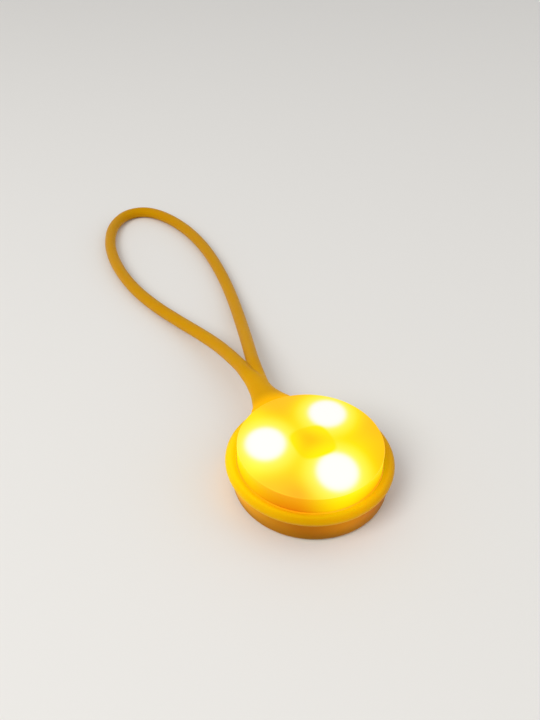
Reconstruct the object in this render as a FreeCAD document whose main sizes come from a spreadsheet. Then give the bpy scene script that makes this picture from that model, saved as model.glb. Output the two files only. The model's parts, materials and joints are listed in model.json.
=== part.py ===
import FreeCAD, Part
import math
import os
import re
import Sketcher

# Bike warning light: a round lamp in a silicone sleeve whose strap loops round a bar.
# The origin is the centre of the underside, +Z is up through the lens and +Y runs along the strap's neck.
# All sizes are in millimetres and degrees.

SIZES = {
    # Coin cells
    "cell_radius": 10.0,
    "cell_thick": 3.2,
    "cell_shoulder": 1.3,
    "cell_cap": 0.3,
    "cell_gap": 0.3,
    "touch_gap": 0.01,
    # Base shell: cell pocket, screw bosses, wall, rim and the spigot for the lens
    "pocket_wall": 1.3,
    "pocket_drop": 0.45,
    "foot_wall": 1.2,
    "foot_height": 1.9,
    "boss_gap": 1.0,
    "boss_radius": 1.6,
    "boss_room": 0.6,
    "shell_wall": 1.9,
    "shell_floor": 1.5,
    "ledge": 0.75,
    "rim_reach": 2.0,
    "rim_flange": 1.0,
    "spigot_wall": 1.1,
    "spigot_gap": 0.5,
    "spigot_clearance": 0.2,
    "recess_wall": 0.5,
    "fit_gap": 0.1,
    # Lens, which is also the push button
    "lens_wall": 1.3,
    "lamp_room": 0.7,
    "dome_rise": 2.2,
    "rim_round": 0.3,
    "skirt_gap": 0.7,
    "post_radius": 2.5,
    "post_gap": 0.05,
    "press_travel": 0.3,
    "bump_inset": 0.2,
    "bump_depth": 0.85,
    "bump_height": 0.8,
    "bump_half_angle": 8,
    "seal_radius": 0.48,
    "seal_gap": 0.1,
    "seal_room": 0.05,
    # Sleeve: cup, ring, lip and the window for the battery door
    "cup_wall": 2.4,
    "cup_floor": 1.0,
    "cup_corner": 1.6,
    "ring_overhang": 1.7,
    "ring_half": 1.4,
    "ring_drop": 5.7,
    "lip_gap": 0.25,
    "lip_edge": 0.6,
    "window_reach": 0.5,
    # Neck and strap
    "strand_radius": 2.08,
    "neck_bite": 0.1,
    "neck_waist": 32.0,
    "neck_end": 38.0,
    "root_half_width": 8.4,
    "root_half_depth": 1.3,
    "waist_half_width": 3.5,
    "waist_half_depth": 2.15,
    "web_half_width": 2.3,
    "web_half_depth": 1.2,
    # Battery door, which turns on three lugs
    "door_flange": 0.85,
    "door_floor": 1.25,
    "flange_reach": 0.4,
    "hub_gap": 0.35,
    "hub_wall": 0.6,
    "lug_reach": 0.95,
    "lug_thick": 0.7,
    "lug_half_angle": 12,
    "lug_azimuth": 60,
    "door_turn": 35,
    "turn_play": 1.5,
    "seat_gap": 0.1,
    "turning_gap": 0.15,
    "counterbore_gap": 0.2,
    "slot_length": 14.0,
    "slot_width": 1.6,
    "slot_depth": 0.7,
    "door_seal_radius": 0.28,
    "door_seal_inset": 0.75,
    "door_seal_proud": 0.06,
    "pad_radius": 8.0,
    "pad_thick": 0.18,
    # Contacts
    "contact_room": 0.45,
    "contact_strip": 0.15,
    "contact_width": 3.2,
    "tongue_root": 4.5,
    "tongue_bend": 1.7,
    "tongue_reach": 2.0,
    "tongue_flat": 0.6,
    "tongue_tip": 0.8,
    "tongue_lift": 0.2,
    "clip_flare": 0.33,
    "clip_tail": 0.6,
    "clip_rise": 1.4,
    "clip_stand": 0.9,
    "clip_foot": 3.0,
    "clip_play": 0.4,
    # Circuit board and what it carries
    "board_gap": 0.3,
    "board_thick": 0.8,
    "led_azimuth": 39,
    "led_inset": 3.9,
    "led_radius": 2.4,
    "led_flange_radius": 2.75,
    "led_flange": 0.7,
    "led_flat": 0.3,
    "led_top": 3.6,
    "lead_side": 0.5,
    "lead_spacing": 2.54,
    "lead_end": 0.8,
    "screw_radius": 0.7,
    "screw_head_radius": 1.3,
    "screw_head": 0.7,
    "screw_length": 4.4,
    "screw_play": 0.15,
    "thread_gap": 0.03,
    "pilot_spare": 0.8,
    "switch_side": 6.0,
    "switch_body": 1.8,
    "switch_frame": 0.3,
    "stem_radius": 1.6,
    "stem_top": 2.9,
    "collar_radius": 2.1,
    "stud_inset": 0.65,
    "stud_radius": 0.35,
    "leg_inset": 0.4,
    "leg_width": 0.7,
    "leg_reach": 1.0,
    "chip_gap": 1.45,
    "chip_length": 4.9,
    "chip_width": 3.9,
    "chip_height": 1.4,
    "chip_lift": 0.15,
    "chip_pitch": 1.27,
    "pin_width": 0.4,
    "pin_knee": 0.35,
    "pin_toe": 1.0,
    "resistor_gap": 2.575,
    "resistor_length": 2.0,
    "resistor_width": 1.25,
    "resistor_height": 0.5,
    "resistor_cap": 0.4,
}

# The strap's centre line from the left end of the neck, round the loop, to its right end.
# It comes down from the ring's height and then lies on the table.
# Its last turn is as tight as the photographed one.
STRAP_ROUTE = [
    (-1.4, 46.5, 7.45),
    (-2.3, 55.0, 6.2),
    (-4.4, 66.8, 4.3),
    (-8.8, 80.8, 2.8),
    (-13.4, 94.4, 2.1),
    (-16.9, 108.5, 2.1),
    (-18.1, 123.4, 2.1),
    (-17.2, 137.7, 2.1),
    (-14.0, 149.8, 2.1),
    (-9.7, 158.1, 2.1),
    (-3.0, 164.5, 2.1),
    (5.2, 164.4, 2.1),
    (11.3, 157.0, 2.1),
    (15.8, 144.1, 2.1),
    (17.6, 129.1, 2.1),
    (17.4, 115.3, 2.1),
    (16.0, 100.5, 2.1),
    (13.5, 85.5, 2.4),
    (10.0, 70.5, 3.8),
    (6.3, 57.5, 5.9),
    (3.6, 46.5, 7.45),
]

# Where each strand leaves the neck's root, before the straight lead that meets the loop.
STRAND_ROOTS = {
    "left_strand": [(-1.1, 27.0, 8.5), (-1.3, 34.0, 8.4)],
    "right_strand": [(0.5, 27.0, 8.5), (1.2, 34.0, 8.4)],
}
STRAND_LEAD = 5.5
ARC_SHARE = 0.45

V = FreeCAD.Vector
UP = V(0, 0, 1)
doc = FreeCAD.newDocument("bike_warning_light")


def make_sheet():
    """The driving sizes, one row each, under their names."""
    sheet = doc.addObject("Spreadsheet::Sheet", "Sizes")
    for row, (name, size) in enumerate(SIZES.items(), start=1):
        sheet.set(f"A{row}", name)
        sheet.set(f"B{row}", str(size))
        sheet.setAlias(f"B{row}", name)
    return sheet


sheet = make_sheet()
gauge = doc.addObject("App::FeaturePython", "Gauge")
gauge.addProperty("App::PropertyFloat", "Reading")
doc.recompute()


def bound(text):
    """An expression in which each size is read from the sheet."""
    return re.sub(r"[a-z_]+", lambda word: "Sizes." + word[0] if word[0] in SIZES else word[0], text)


def value(text):
    """What an expression comes to."""
    gauge.setExpression("Reading", bound(text))
    gauge.recompute()
    return gauge.Reading


def tie(thing, path, text):
    """Binds one property of an object to an expression."""
    thing.setExpression(path, bound(text))


# Radii, worked out from the cells outwards
POCKET_INNER = "(cell_radius + cell_gap)"
POCKET_OUTER = f"({POCKET_INNER} + pocket_wall)"
BOSS_RING = f"({POCKET_OUTER} + boss_gap + boss_radius)"
SHELL_INNER = f"({BOSS_RING} + boss_radius + boss_room)"
SHELL_OUTER = f"({SHELL_INNER} + shell_wall)"
RIM_RADIUS = f"({SHELL_OUTER} + rim_reach)"
RECESS_RADIUS = f"({SHELL_INNER} + recess_wall)"
SPIGOT_OUTER = f"({SHELL_INNER} + spigot_wall)"
LENS_INNER = f"({SPIGOT_OUTER} + spigot_gap)"
LENS_RADIUS = f"({LENS_INNER} + lens_wall)"
LIP_RADIUS = f"({LENS_RADIUS} + lip_gap)"
LENS_SEAL_RING = f"({LENS_INNER} - seal_gap - seal_radius)"
DOME_RADIUS = f"(({LENS_RADIUS} ^ 2 + dome_rise ^ 2) / (2 * dome_rise))"
UNDER_RADIUS = f"(({LENS_INNER} ^ 2 + dome_rise ^ 2) / (2 * dome_rise))"
CUP_INNER = f"({SHELL_OUTER} + fit_gap)"
CUP_OUTER = f"({CUP_INNER} + cup_wall)"
RING_RADIUS = f"({CUP_OUTER} + ring_overhang)"
BOARD_RADIUS = f"({SHELL_INNER} - board_gap)"
LED_RING = f"({BOARD_RADIUS} - led_inset)"
CHIP_REACH = "(switch_side / 2 + leg_reach + chip_gap + pin_toe + chip_width / 2)"
RESISTOR_REACH = "(switch_side / 2 + leg_reach + resistor_gap + resistor_width / 2)"

# Radii of the battery door and of what it turns in
HUB_INNER = "(cell_radius + hub_gap)"
HUB_RADIUS = f"({HUB_INNER} + hub_wall)"
LUG_RADIUS = f"({HUB_RADIUS} + lug_reach)"
DOOR_RADIUS = f"({LUG_RADIUS} + flange_reach)"
DOOR_SEAL_RING = f"({HUB_RADIUS} + door_seal_inset)"
LEDGE_RADIUS = f"({HUB_RADIUS} + turning_gap)"
FOOT_OUTER = f"({LEDGE_RADIUS} + foot_wall)"
COUNTERBORE = f"({DOOR_RADIUS} + counterbore_gap)"
WINDOW_RADIUS = f"({COUNTERBORE} + window_reach)"

# Heights, worked out from the underside upwards
FLOOR_TOP = "(cup_floor + shell_floor)"
LEDGE_LOW = f"({FLOOR_TOP} - ledge)"
FLANGE_TOP = f"({LEDGE_LOW} - seat_gap)"
DOOR_LEVEL = f"({FLANGE_TOP} - door_flange)"
GROOVE_DEPTH = "(2 * door_seal_radius - door_seal_proud)"
DOOR_SEAL_LEVEL = f"({FLANGE_TOP} - {GROOVE_DEPTH} + door_seal_radius + touch_gap)"
LUG_LOW = f"({FLOOR_TOP} + seat_gap)"
HUB_TOP = f"({LUG_LOW} + lug_thick)"
CHANNEL_TOP = f"({HUB_TOP} + 2 * turning_gap)"
FOOT_TOP = f"({FLOOR_TOP} + foot_height)"
PAD_LOW = f"({DOOR_LEVEL} + door_floor)"
CELL_LOW = f"({PAD_LOW} + pad_thick + 2 * touch_gap)"
STACK_TOP = f"({CELL_LOW} + 2 * cell_thick)"
POCKET_TOP = f"({STACK_TOP} - pocket_drop)"
BOARD_LOW = f"({STACK_TOP} + contact_room)"
BOARD_TOP = f"({BOARD_LOW} + board_thick)"
STEM_TOP = f"({BOARD_TOP} + stem_top)"
POST_END = f"({STEM_TOP} + post_gap)"
RIM_HEIGHT = f"({BOARD_TOP} + led_top + lamp_room)"
CROWN = f"({RIM_HEIGHT} + dome_rise)"
SPIGOT_TOP = f"({RIM_HEIGHT} - lens_wall - press_travel - spigot_clearance)"
RING_LEVEL = f"({RIM_HEIGHT} - ring_drop)"
RIM_LOW = f"({RING_LEVEL} - rim_flange)"
LENS_FOOT = f"({RING_LEVEL} + skirt_gap)"
BUMP_LOW = f"({LENS_FOOT} + bump_inset)"
RECESS_TOP = f"({BUMP_LOW} + bump_height + fit_gap)"
SEAL_LEVEL = f"(({RECESS_TOP} + {SPIGOT_TOP}) / 2)"

# Directions about the lamp's axis
BOSS_AZIMUTH = "(led_azimuth + 60)"
CLIP_AZIMUTH = "(led_azimuth + 30)"


def new_body(label, turn=None):
    """An empty body, turned about the lamp's axis where its piece stands at an azimuth."""
    body = doc.addObject("PartDesign::Body", label)
    body.Label = label
    if turn:
        body.Placement = FreeCAD.Placement(V(), FreeCAD.Rotation(UP, value(turn)))
        tie(body, "Placement.Rotation.Angle", turn)
    return body


def origin_part(body, role):
    return next(part for part in body.Origin.OriginFeatures if part.Role == role)


def new_sketch(body, name, plane="XZ_Plane", level=None, shift=None, turn=None):
    """A sketch on one of the body's own planes: level lifts it, shift moves it and turn spins it."""
    sketch = body.newObject("Sketcher::SketchObject", name)
    sketch.AttachmentSupport = (origin_part(body, plane), "")
    sketch.MapMode = "FlatFace"
    if turn:
        sketch.AttachmentOffset = FreeCAD.Placement(V(), FreeCAD.Rotation(UP, value(turn)))
        tie(sketch, "AttachmentOffset.Rotation.Angle", turn)
    if level:
        tie(sketch, "AttachmentOffset.Base.z", level)
    if shift:
        tie(sketch, "AttachmentOffset.Base.x", shift)
    return sketch


def hold(sketch, geometry, end, x, y):
    """Ties one point of a sketch to its two coordinates."""
    for kind, text in (("DistanceX", x), ("DistanceY", y)):
        number = value(text)
        axis = -2 if kind == "DistanceX" else -1
        if text == "0":
            sketch.addConstraint(Sketcher.Constraint("PointOnObject", geometry, end, axis))
            continue
        index = sketch.addConstraint(Sketcher.Constraint(kind, -1, 1, geometry, end, number))
        tie(sketch, f"Constraints[{index}]", text)


def arc_between(start, finish, radius, side):
    """The short arc from start to finish that turns to its left or right."""
    chord = finish - start
    rise = math.sqrt(max(radius ** 2 - (chord.Length / 2) ** 2, 0))
    left = V(-chord.y, chord.x, 0).normalize()
    centre = (start + finish) * 0.5 + left * (rise if side == "left" else -rise)
    first, last = (start, finish) if side == "left" else (finish, start)
    begin = math.atan2(first.y - centre.y, first.x - centre.x)
    sweep = (math.atan2(last.y - centre.y, last.x - centre.x) - begin) % (2 * math.pi)
    return Part.ArcOfCircle(Part.Circle(centre, UP, radius), begin, begin + sweep)


def outline(sketch, corners, arcs=None):
    """A closed outline through corners, which are pairs of expressions.

    arcs gives, by a side's number, the radius of a side that is an arc and whether it turns left or right.
    """
    arcs = arcs or {}
    base = sketch.GeometryCount
    places = [V(value(x), value(y), 0) for x, y in corners]
    ends = []
    for number, start in enumerate(places):
        finish = places[(number + 1) % len(places)]
        if number in arcs:
            radius, side = arcs[number]
            index = sketch.addGeometry(arc_between(start, finish, value(radius), side))
            ends.append((1, 2) if side == "left" else (2, 1))
            mark = sketch.addConstraint(Sketcher.Constraint("Radius", index, value(radius)))
            tie(sketch, f"Constraints[{mark}]", radius)
        else:
            sketch.addGeometry(Part.LineSegment(start, finish))
            ends.append((1, 2))
    count = len(places)
    for number, (x, y) in enumerate(corners):
        before = (number - 1) % count
        sketch.addConstraint(
            Sketcher.Constraint("Coincident", base + before, ends[before][1], base + number, ends[number][0])
        )
        hold(sketch, base + number, ends[number][0], x, y)


def rectangle(sketch, left, right, low, high):
    outline(sketch, [(left, low), (right, low), (right, high), (left, high)])


def sector(sketch, inner, outer, half_angle):
    """A piece of a ring, laid evenly across the sketch's X axis."""
    near = f"({inner}) * cos({half_angle})", f"({inner}) * sin({half_angle})"
    far = f"({outer}) * cos({half_angle})", f"({outer}) * sin({half_angle})"
    corners = [(near[0], "-" + near[1]), (far[0], "-" + far[1]), far, near]
    outline(sketch, corners, {1: (outer, "left"), 3: (inner, "right")})


def circle(sketch, radius, x="0", y="0"):
    index = sketch.addGeometry(Part.Circle(V(value(x), value(y), 0), UP, value(radius)))
    mark = sketch.addConstraint(Sketcher.Constraint("Radius", index, value(radius)))
    tie(sketch, f"Constraints[{mark}]", radius)
    hold(sketch, index, 3, x, y)


def revolve(body, sketch):
    """Turns a sketch once round its own vertical axis."""
    turned = body.newObject("PartDesign::Revolution", sketch.Name + "_turned")
    turned.Profile = sketch
    turned.ReferenceAxis = (sketch, ["V_Axis"])
    turned.Angle = 360
    return turned


def pad(body, sketch, length, middle=False):
    padded = body.newObject("PartDesign::Pad", sketch.Name + "_pad")
    padded.Profile = sketch
    padded.SideType = "Symmetric" if middle else "One side"
    tie(padded, "Length", length)
    return padded


def cut(body, sketch, depth):
    """Cuts a sketch upwards by a depth."""
    pocket = body.newObject("PartDesign::Pocket", sketch.Name + "_cut")
    pocket.Profile = sketch
    pocket.Reversed = True
    tie(pocket, "Length", depth)
    return pocket


def around(body, feature, count):
    """Repeats a feature round the lamp's axis."""
    ring = body.newObject("PartDesign::PolarPattern", feature.Name + "_ring")
    ring.Originals = [feature]
    ring.Axis = (origin_part(body, "Z_Axis"), [""])
    ring.Angle = 360
    ring.Occurrences = count
    body.Tip = ring
    return ring


def circles_at(feature, places):
    """Names of the round edges with the given radii and heights."""
    doc.recompute()
    wanted = [(value(radius), value(height)) for radius, height in places]
    names = []
    for number, edge in enumerate(feature.Shape.Edges, start=1):
        if edge.Degenerated or edge.Curve.TypeId != "Part::GeomCircle":
            continue
        curve = edge.Curve
        for radius, height in wanted:
            if abs(curve.Radius - radius) < 0.01 and abs(curve.Center.z - height) < 0.01:
                names.append(f"Edge{number}")
    return names


def soften(body, feature, size, places):
    """Rounds the round edges with the given radii and heights."""
    rounded = body.newObject("PartDesign::Fillet", feature.Name + "_soft")
    rounded.Base = (feature, circles_at(feature, places))
    tie(rounded, "Radius", size)
    return rounded


def rounded_path(points):
    """Straight runs joined by tangent arcs, each as large as its two runs allow, and the arcs' radii."""
    spots = [V(*point) for point in points]
    edges = []
    radii = []
    here = spots[0]
    for before, corner, after in zip(spots, spots[1:], spots[2:]):
        back = before - corner
        ahead = after - corner
        reach = ARC_SHARE * min(back.Length, ahead.Length)
        half_turn = (math.pi - back.getAngle(ahead)) / 2
        back.normalize()
        ahead.normalize()
        radius = reach / math.tan(half_turn)
        middle = (back + ahead).normalize()
        inside = corner + middle * (radius / math.cos(half_turn) - radius)
        start = corner + back * reach
        finish = corner + ahead * reach
        edges.append(Part.LineSegment(here, start).toShape())
        edges.append(Part.Arc(start, inside, finish).toShape())
        radii.append(radius)
        here = finish
    edges.append(Part.LineSegment(here, spots[-1]).toShape())
    return Part.Wire(edges), radii


def round_tube(label, points, radius):
    """A round tube along a route, with its radii and its volume printed."""
    path, radii = rounded_path(points)
    direction = V(*points[1]) - V(*points[0])
    ring = Part.Wire(Part.Circle(V(*points[0]), direction, radius).toShape())
    tube = doc.addObject("Part::Feature", label)
    tube.Label = label
    tube.Shape = path.makePipeShell([ring], True, False)
    expected = math.pi * radius ** 2 * path.Length
    print(label, "length", round(path.Length, 1), "radii", [round(size, 1) for size in radii])
    print(label, "volume", round(tube.Shape.Volume, 2), "of", round(expected, 2))
    return tube


def make_sleeve_cup():
    """Cup and bead ring, with a groove for the shell's rim and a window under the battery door."""
    body = new_body("sleeve_cup")
    sketch = new_sketch(body, "sleeve_outline")
    bead = f"({RING_RADIUS} - ring_half)"
    groove = f"({RIM_RADIUS} + fit_gap)"
    corners = [
        (WINDOW_RADIUS, "0"),
        (CUP_OUTER, "0"),
        (CUP_OUTER, RING_LEVEL + " - ring_half"),
        (bead, RING_LEVEL + " - ring_half"),
        (RING_RADIUS, RING_LEVEL),
        (bead, RING_LEVEL + " + ring_half"),
        (LIP_RADIUS, RING_LEVEL + " + lip_edge"),
        (LIP_RADIUS, RING_LEVEL + " + fit_gap"),
        (groove, RING_LEVEL + " + fit_gap"),
        (groove, RIM_LOW + " - fit_gap"),
        (CUP_INNER, RIM_LOW + " - fit_gap"),
        (CUP_INNER, "cup_floor"),
        (WINDOW_RADIUS, "cup_floor"),
    ]
    arcs = {3: ("ring_half", "left"), 4: ("ring_half", "left"), 5: ("ring_half * 1.6", "left")}
    outline(sketch, corners, arcs)
    turned = revolve(body, sketch)
    soften(body, turned, "cup_corner", [(CUP_OUTER, "0")])
    return body


def make_neck_root():
    """The neck's web: ellipses that narrow from the ring to the waist and end inside the two strands."""
    start = f"({CUP_OUTER} + neck_bite)"
    stations = []
    steps = 6
    for step in range(steps):
        share = 1 - step / (steps - 1)
        reach = f"neck_waist - (neck_waist - {start}) * {share:.1f}"
        width = f"waist_half_width + (root_half_width - waist_half_width) * {share:.1f} ^ 2"
        depth = f"waist_half_depth + (root_half_depth - waist_half_depth) * {share:.1f} ^ 4"
        stations.append((reach, width, depth))
    stations.append(("neck_end", "web_half_width", "web_half_depth"))
    sections = []
    for number, (reach, width, depth) in enumerate(stations):
        section = doc.addObject("Part::Ellipse", f"neck_section_{number}")
        section.Placement = FreeCAD.Placement(V(), FreeCAD.Rotation(V(1, 0, 0), 90))
        tie(section, "MajorRadius", width)
        tie(section, "MinorRadius", depth)
        tie(section, "Placement.Base.y", reach)
        tie(section, "Placement.Base.z", RING_LEVEL)
        sections.append(section)
    root = doc.addObject("Part::Loft", "neck_root")
    root.Sections = sections
    root.Solid = True
    root.Ruled = False
    return root


def make_sleeve():
    """The silicone moulding: cup, ring, neck and the two short strands that the loop goes on from."""
    pieces = [make_sleeve_cup(), make_neck_root()]
    ends = {"left_strand": STRAP_ROUTE[:2], "right_strand": STRAP_ROUTE[:-3:-1]}
    for label, (meeting, beyond) in ends.items():
        heading = (V(*beyond) - V(*meeting)).normalize()
        lead = V(*meeting) - heading * STRAND_LEAD
        route = STRAND_ROOTS[label] + [tuple(lead), meeting]
        pieces.append(round_tube(label, route, value("strand_radius")))
    sleeve = doc.addObject("Part::MultiFuse", "sleeve")
    sleeve.Label = "sleeve"
    sleeve.Shapes = pieces
    sleeve.Refine = True
    return sleeve


def make_strap_loop():
    """The long stretch of the strap, which meets the sleeve's strands face to face."""
    return round_tube("strap_loop", STRAP_ROUTE, value("strand_radius"))


def make_lens_cover():
    """Domed lens with a skirt, a post over the switch and three snap bumps inside the skirt."""
    body = new_body("lens_cover")
    sketch = new_sketch(body, "lens_outline")
    dip = f"({UNDER_RADIUS} - sqrt({UNDER_RADIUS} ^ 2 - post_radius ^ 2))"
    root = f"{CROWN} - lens_wall - {dip}"
    corners = [
        (LENS_INNER, LENS_FOOT),
        (LENS_RADIUS, LENS_FOOT),
        (LENS_RADIUS, RIM_HEIGHT),
        ("0", CROWN),
        ("0", POST_END),
        ("post_radius", POST_END),
        ("post_radius", root),
        (LENS_INNER, RIM_HEIGHT + " - lens_wall"),
    ]
    outline(sketch, corners, {2: (DOME_RADIUS, "left"), 6: (UNDER_RADIUS, "right")})
    turned = revolve(body, sketch)
    rim = soften(body, turned, "rim_round", [(LENS_RADIUS, RIM_HEIGHT)])
    soften(body, rim, "post_radius / 4", [("post_radius", root)])
    bump = new_sketch(body, "bump_outline", "XY_Plane", BUMP_LOW, turn=BOSS_AZIMUTH)
    sector(bump, LENS_INNER + " - bump_depth", LENS_INNER + " + lens_wall / 3", "bump_half_angle")
    around(body, pad(body, bump, "bump_height"), 3)
    return body


def make_ring(label, ring, section, level):
    """A seal of round section."""
    seal = doc.addObject("Part::Torus", label)
    seal.Label = label
    tie(seal, "Radius1", ring)
    tie(seal, "Radius2", section)
    tie(seal, "Placement.Base.z", level)
    return seal


def make_base_shell():
    """Moulded base: floor with a ledge for the lugs, rim, spigot for the lens, cell pocket and bosses."""
    body = new_body("base_shell")
    walls = new_sketch(body, "shell_outline")
    seal_floor = LENS_INNER + " - seal_gap - 2 * seal_radius - seal_room"
    seal_low = SEAL_LEVEL + " - seal_radius - seal_room"
    seal_high = SEAL_LEVEL + " + seal_radius + seal_room"
    corners = [
        (LEDGE_RADIUS, LEDGE_LOW),
        (COUNTERBORE, LEDGE_LOW),
        (COUNTERBORE, "cup_floor"),
        (SHELL_OUTER, "cup_floor"),
        (SHELL_OUTER, RIM_LOW),
        (RIM_RADIUS, RIM_LOW),
        (RIM_RADIUS, RING_LEVEL),
        (SPIGOT_OUTER, RING_LEVEL),
        (SPIGOT_OUTER, seal_low),
        (seal_floor, seal_low),
        (seal_floor, seal_high),
        (SPIGOT_OUTER, seal_high),
        (SPIGOT_OUTER, SPIGOT_TOP),
        (SHELL_INNER, SPIGOT_TOP),
        (SHELL_INNER, FLOOR_TOP),
        (LEDGE_RADIUS, FLOOR_TOP),
    ]
    outline(walls, corners)
    revolve(body, walls)
    pocket = new_sketch(body, "pocket_outline")
    corners = [
        (POCKET_INNER, CHANNEL_TOP),
        (LEDGE_RADIUS, CHANNEL_TOP),
        (LEDGE_RADIUS, FLOOR_TOP),
        (FOOT_OUTER, FLOOR_TOP),
        (FOOT_OUTER, FOOT_TOP),
        (POCKET_OUTER, FOOT_TOP + " + foot_wall / 2"),
        (POCKET_OUTER, POCKET_TOP),
        (POCKET_INNER, POCKET_TOP),
    ]
    outline(pocket, corners)
    revolve(body, pocket)
    channel = new_sketch(body, "channel_outline", "XY_Plane", FLOOR_TOP, turn="lug_azimuth - door_turn / 2")
    sweep = "door_turn / 2 + lug_half_angle + turn_play"
    sector(channel, LEDGE_RADIUS + " - fit_gap", FOOT_OUTER + " + fit_gap", sweep)
    around(body, cut(body, channel, f"{CHANNEL_TOP} - {FLOOR_TOP}"), 3)
    notch = new_sketch(body, "notch_outline", "XY_Plane", LEDGE_LOW, turn="lug_azimuth - door_turn")
    sector(notch, LEDGE_RADIUS + " - fit_gap", LUG_RADIUS + " + turning_gap", "lug_half_angle + turn_play")
    around(body, cut(body, notch, "ledge"), 3)
    slot = new_sketch(body, "clip_slot", "XY_Plane", CHANNEL_TOP + " + turning_gap", turn=CLIP_AZIMUTH)
    half = "(contact_width / 2 + clip_play)"
    rectangle(slot, POCKET_INNER + " - clip_play", POCKET_OUTER + " + clip_play", "-" + half, half)
    cut(body, slot, POCKET_TOP)
    boss = new_sketch(body, "boss_outline", "XY_Plane", FLOOR_TOP, turn=BOSS_AZIMUTH)
    circle(boss, "boss_radius", BOSS_RING)
    around(body, pad(body, boss, f"{BOARD_LOW} - {FLOOR_TOP}"), 3)
    pilot_end = BOARD_TOP + " - screw_length - pilot_spare"
    pilot = new_sketch(body, "pilot_outline", "XY_Plane", pilot_end, turn=BOSS_AZIMUTH)
    circle(pilot, "screw_radius + thread_gap", BOSS_RING)
    around(body, cut(body, pilot, "screw_length + pilot_spare"), 3)
    recess_low = f"({BUMP_LOW} - press_travel - bump_inset)"
    recess = new_sketch(body, "recess_outline", "XY_Plane", recess_low, turn=BOSS_AZIMUTH)
    sector(recess, RECESS_RADIUS, SPIGOT_OUTER + " + spigot_gap", "bump_half_angle + turn_play")
    around(body, cut(body, recess, f"{RECESS_TOP} - {recess_low}"), 3)
    return body


def make_battery_door():
    """Round door: flange, hub wall with three bayonet lugs, a seal groove and a coin slot underneath."""
    body = new_body("battery_door")
    sketch = new_sketch(body, "door_outline")
    groove_low = f"({FLANGE_TOP} - {GROOVE_DEPTH})"
    groove_inner = DOOR_SEAL_RING + " - door_seal_radius - seal_room"
    groove_outer = DOOR_SEAL_RING + " + door_seal_radius + seal_room"
    corners = [
        ("0", DOOR_LEVEL),
        (DOOR_RADIUS, DOOR_LEVEL),
        (DOOR_RADIUS, FLANGE_TOP),
        (groove_outer, FLANGE_TOP),
        (groove_outer, groove_low),
        (groove_inner, groove_low),
        (groove_inner, FLANGE_TOP),
        (HUB_RADIUS, FLANGE_TOP),
        (HUB_RADIUS, HUB_TOP),
        (HUB_INNER, HUB_TOP),
        (HUB_INNER, PAD_LOW),
        ("0", PAD_LOW),
    ]
    outline(sketch, corners)
    turned = revolve(body, sketch)
    soften(body, turned, "door_flange / 4", [(DOOR_RADIUS, DOOR_LEVEL)])
    lug = new_sketch(body, "lug_outline", "XY_Plane", LUG_LOW, turn="lug_azimuth")
    sector(lug, HUB_RADIUS + " - hub_wall / 2", LUG_RADIUS, "lug_half_angle")
    around(body, pad(body, lug, "lug_thick"), 3)
    slot = new_sketch(body, "coin_slot", "XY_Plane", DOOR_LEVEL)
    half = "(slot_length / 2 - slot_width / 2)"
    corners = [
        ("-" + half, "-slot_width / 2"),
        (half, "-slot_width / 2"),
        ("slot_length / 2", "0"),
        (half, "slot_width / 2"),
        ("-" + half, "slot_width / 2"),
        ("-slot_length / 2", "0"),
    ]
    outline(slot, corners, {side: ("slot_width / 2", "left") for side in (1, 2, 4, 5)})
    cut(body, slot, "slot_depth")
    return body


def make_door_pad():
    """Thin pad that presses the cells up against their contact."""
    pad_disc = doc.addObject("Part::Cylinder", "door_pad")
    pad_disc.Label = "door_pad"
    tie(pad_disc, "Radius", "pad_radius")
    tie(pad_disc, "Height", "pad_thick")
    tie(pad_disc, "Placement.Base.z", PAD_LOW)
    return pad_disc


def make_cell(label, level):
    """Coin cell: the can below and round the side, and the smaller cap on top."""
    body = new_body(label)
    sketch = new_sketch(body, label + "_outline")
    corner = "(cell_thick / 6)"
    shoulder = f"{level} + cell_thick - cell_cap"
    corners = [
        ("0", level),
        ("cell_radius - " + corner, level),
        ("cell_radius", f"{level} + {corner}"),
        ("cell_radius", f"{shoulder} - {corner} / 2"),
        (f"cell_radius - {corner} / 2", shoulder),
        ("cell_radius - cell_shoulder", shoulder),
        ("cell_radius - cell_shoulder", f"{level} + cell_thick"),
        ("0", f"{level} + cell_thick"),
    ]
    outline(sketch, corners, {1: (corner, "left"), 3: (corner + " / 2", "left")})
    revolve(body, sketch)
    return body


def make_negative_spring():
    """Leaf under the board whose tongue bears on the upper cell's cap."""
    body = new_body("negative_spring")
    sketch = new_sketch(body, "tongue_outline")
    high = BOARD_LOW
    low = f"({BOARD_LOW} - contact_strip)"
    touch = f"({STACK_TOP} + touch_gap)"
    heel = "tongue_reach + tongue_flat"
    corners = [
        ("-tongue_root", low),
        ("-tongue_bend", low),
        ("tongue_reach", touch),
        (heel, touch),
        (heel + " + tongue_tip", touch + " + tongue_lift"),
        (heel + " + tongue_tip - contact_strip / 2", touch + " + tongue_lift + contact_strip"),
        (heel + " - contact_strip / 2", touch + " + contact_strip"),
        ("tongue_reach + contact_strip / 2", touch + " + contact_strip"),
        ("-tongue_bend + contact_strip / 2", high),
        ("-tongue_root", high),
    ]
    outline(sketch, corners)
    pad(body, sketch, "contact_width", middle=True)
    return body


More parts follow.
